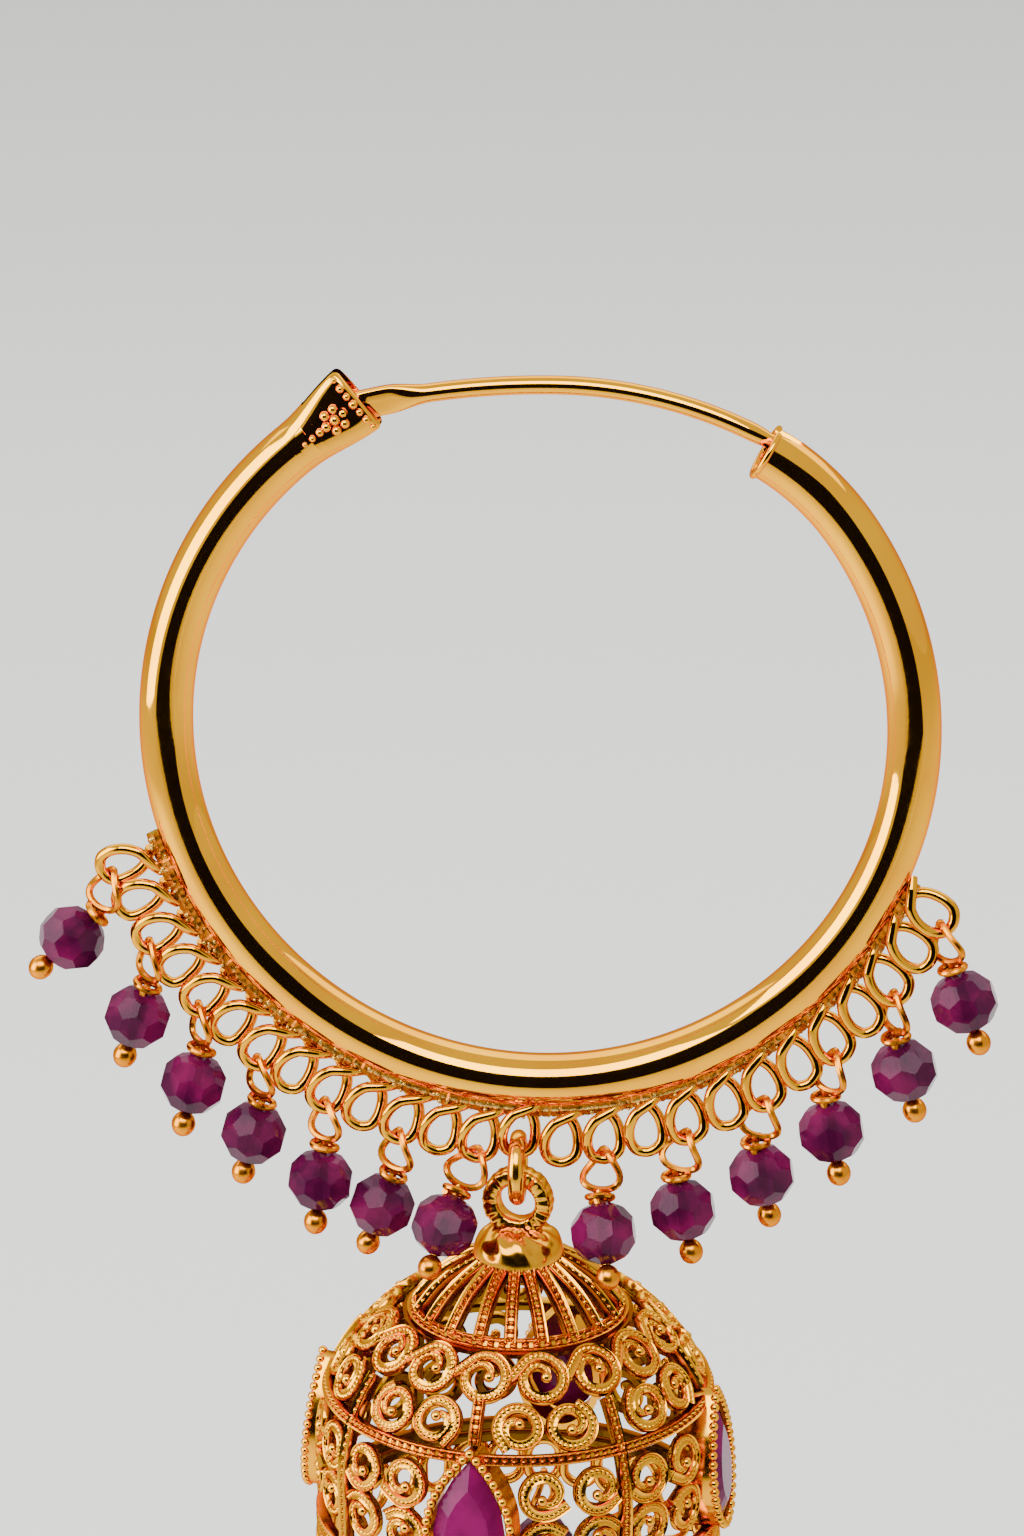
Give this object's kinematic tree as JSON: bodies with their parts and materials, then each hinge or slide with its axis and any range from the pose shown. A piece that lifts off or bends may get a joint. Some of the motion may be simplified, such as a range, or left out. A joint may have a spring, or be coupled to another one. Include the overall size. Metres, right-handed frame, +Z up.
{
  "type": "hoop earring with a bell pendant",
  "caption": "Hollow gold-coloured hoop earring with a hinged ear wire, a wire lace with hanging faceted beads, and a pierced bell pendant fringed with beads.",
  "frame": {"origin": "underside of the ear wire, where it lies in the ear lobe", "axes": "+Z up, +Y from the front of the hoop to its back, +X from the hinge of the ear wire to its catch"},
  "size_m": [0.0578, 0.0276, 0.0834],
  "materials": {
    "polished_gold": "polished",
    "cast_gold": "satin",
    "pin_gold": "polished",
    "bead_glass": "polished",
    "pear_glass": "polished"
  },
  "bodies": {
    "hoop_body": {"hoop": "polished_gold", "hinge_pin": "polished_gold", "drop_pin_1": "pin_gold", "drop_pin_2": "pin_gold", "drop_pin_3": "pin_gold", "drop_pin_4": "pin_gold", "drop_pin_5": "pin_gold", "drop_pin_6": "pin_gold", "drop_pin_7": "pin_gold", "drop_pin_8": "pin_gold", "drop_pin_9": "pin_gold", "drop_pin_10": "pin_gold", "drop_pin_11": "pin_gold", "drop_pin_12": "pin_gold", "drop_pin_13": "pin_gold", "drop_bead_1": "bead_glass", "drop_bead_2": "bead_glass", "drop_bead_3": "bead_glass", "drop_bead_4": "bead_glass", "drop_bead_5": "bead_glass", "drop_bead_6": "bead_glass", "drop_bead_7": "bead_glass", "drop_bead_8": "bead_glass", "drop_bead_9": "bead_glass", "drop_bead_10": "bead_glass", "drop_bead_11": "bead_glass", "drop_bead_12": "bead_glass", "drop_bead_13": "bead_glass"},
    "ear_wire_body": {"ear_wire": "polished_gold"},
    "link_body": {"jump_link": "polished_gold"},
    "bell_body": {"bell": "cast_gold", "rim_pins": "pin_gold", "rim_beads": "bead_glass", "pear_stone_1": "pear_glass", "pear_stone_2": "pear_glass", "pear_stone_3": "pear_glass", "pear_stone_4": "pear_glass"}
  },
  "joints": [
    {"name": "ear_wire_hinge", "type": "hinge", "parent": "hoop_body", "child": "ear_wire_body", "pos_m": [-0.01017, 0, -0.00106], "axis": [0, -1, 0], "range_deg": [0, 85]},
    {"name": "link_swing", "type": "hinge", "parent": "hoop_body", "child": "link_body", "pos_m": [-0.00002, 0, -0.04706], "axis": [1, 0, 0], "range_deg": [-5, 60]},
    {"name": "bell_swing", "type": "hinge", "parent": "link_body", "child": "bell_body", "pos_m": [-0.00002, 0, -0.04977], "axis": [0, 1, 0], "range_deg": [-7, 7]}
  ]
}
